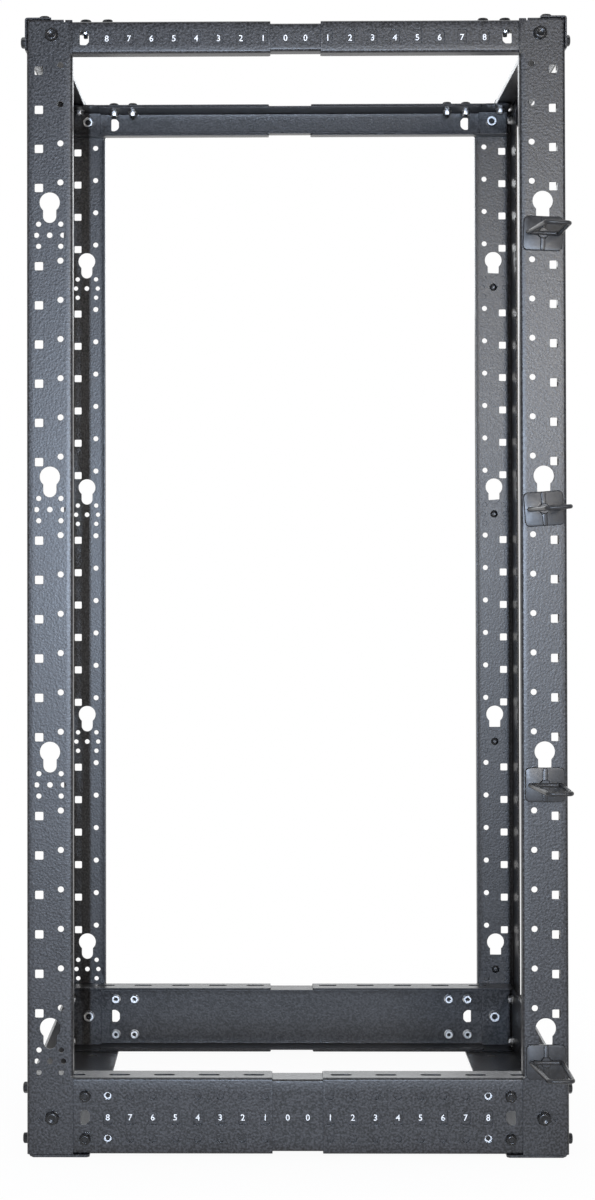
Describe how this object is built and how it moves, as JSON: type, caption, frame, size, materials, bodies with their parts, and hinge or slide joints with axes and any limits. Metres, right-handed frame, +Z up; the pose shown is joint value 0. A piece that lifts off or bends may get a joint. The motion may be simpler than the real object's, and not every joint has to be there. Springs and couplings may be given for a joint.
{
  "type": "open frame server rack",
  "caption": "Open frame server rack in black steel: perforated angle posts, sliding depth rails with an inch scale, top and base cross beams and swivelling cable rings.",
  "frame": {"origin": "on the floor, below the middle of the closed rack", "axes": "+X towards the rear posts, which carry the cable rings; +Y towards the rack's left side seen from its front; +Z up"},
  "size_m": [0.6292, 0.8104, 1.2962],
  "materials": {
    "black_powder_coat": "fine textured charcoal powder coat, satin",
    "gloss_black_coat": "smooth gloss black coat",
    "black_fasteners": "black oxide, semi-gloss",
    "zinc_fasteners": "bright zinc plate"
  },
  "bodies": {
    "front_frame": {"front_right_post": "black_powder_coat", "front_right_upper_rail": "black_powder_coat", "front_right_lower_rail": "black_powder_coat", "front_left_post": "black_powder_coat", "front_left_upper_rail": "black_powder_coat", "front_left_lower_rail": "black_powder_coat", "front_top_beam": "black_powder_coat", "front_base_beam": "black_powder_coat", "front_post_bolts": "black_fasteners", "front_post_nuts": "zinc_fasteners", "front_beam_screws": "black_fasteners", "front_beam_nuts": "zinc_fasteners", "front_lock_bolts": "black_fasteners"},
    "scale_rails": {"right_upper_scale_rail": "black_powder_coat", "right_lower_scale_rail": "black_powder_coat", "left_upper_scale_rail": "black_powder_coat", "left_lower_scale_rail": "black_powder_coat", "lock_nuts": "zinc_fasteners"},
    "rear_frame": {"rear_right_post": "black_powder_coat", "rear_right_upper_rail": "black_powder_coat", "rear_right_lower_rail": "black_powder_coat", "rear_left_post": "black_powder_coat", "rear_left_upper_rail": "black_powder_coat", "rear_left_lower_rail": "black_powder_coat", "rear_top_beam": "black_powder_coat", "rear_base_beam": "black_powder_coat", "rear_post_bolts": "black_fasteners", "rear_post_nuts": "zinc_fasteners", "rear_beam_screws": "black_fasteners", "rear_beam_nuts": "zinc_fasteners", "rear_lock_bolts": "black_fasteners", "ring_screws": "black_fasteners"},
    "right_ring_1": {"right_cable_ring_1": "gloss_black_coat"},
    "right_ring_2": {"right_cable_ring_2": "gloss_black_coat"},
    "right_ring_3": {"right_cable_ring_3": "gloss_black_coat"},
    "right_ring_4": {"right_cable_ring_4": "gloss_black_coat"},
    "left_ring_1": {"left_cable_ring_1": "gloss_black_coat"},
    "left_ring_2": {"left_cable_ring_2": "gloss_black_coat"},
    "left_ring_3": {"left_cable_ring_3": "gloss_black_coat"},
    "left_ring_4": {"left_cable_ring_4": "gloss_black_coat"}
  },
  "joints": [
    {"name": "front_depth_slide", "type": "slide", "parent": "front_frame", "child": "scale_rails", "axis": [1, 0, 0], "range_m": [0, 0.2032]},
    {"name": "rear_depth_slide", "type": "slide", "parent": "scale_rails", "child": "rear_frame", "axis": [1, 0, 0], "range_m": [0, 0.2032]},
    {"name": "right_cable_ring_1_swivel", "type": "hinge", "parent": "rear_frame", "child": "right_ring_1", "pos_m": [0.2792, -0.3002, 1.04133], "axis": [0, 1, 0], "range_deg": [-90, 90]},
    {"name": "right_cable_ring_2_swivel", "type": "hinge", "parent": "rear_frame", "child": "right_ring_2", "pos_m": [0.2792, -0.3002, 0.73018], "axis": [0, 1, 0], "range_deg": [-90, 90]},
    {"name": "right_cable_ring_3_swivel", "type": "hinge", "parent": "rear_frame", "child": "right_ring_3", "pos_m": [0.2792, -0.3002, 0.41902], "axis": [0, 1, 0], "range_deg": [-90, 90]},
    {"name": "right_cable_ring_4_swivel", "type": "hinge", "parent": "rear_frame", "child": "right_ring_4", "pos_m": [0.2792, -0.3002, 0.10787], "axis": [0, 1, 0], "range_deg": [-90, 90]},
    {"name": "left_cable_ring_1_swivel", "type": "hinge", "parent": "rear_frame", "child": "left_ring_1", "pos_m": [0.2792, 0.3002, 1.04133], "axis": [0, 1, 0], "range_deg": [-90, 90]},
    {"name": "left_cable_ring_2_swivel", "type": "hinge", "parent": "rear_frame", "child": "left_ring_2", "pos_m": [0.2792, 0.3002, 0.73018], "axis": [0, 1, 0], "range_deg": [-90, 90]},
    {"name": "left_cable_ring_3_swivel", "type": "hinge", "parent": "rear_frame", "child": "left_ring_3", "pos_m": [0.2792, 0.3002, 0.41902], "axis": [0, 1, 0], "range_deg": [-90, 90]},
    {"name": "left_cable_ring_4_swivel", "type": "hinge", "parent": "rear_frame", "child": "left_ring_4", "pos_m": [0.2792, 0.3002, 0.10787], "axis": [0, 1, 0], "range_deg": [-90, 90]}
  ]
}
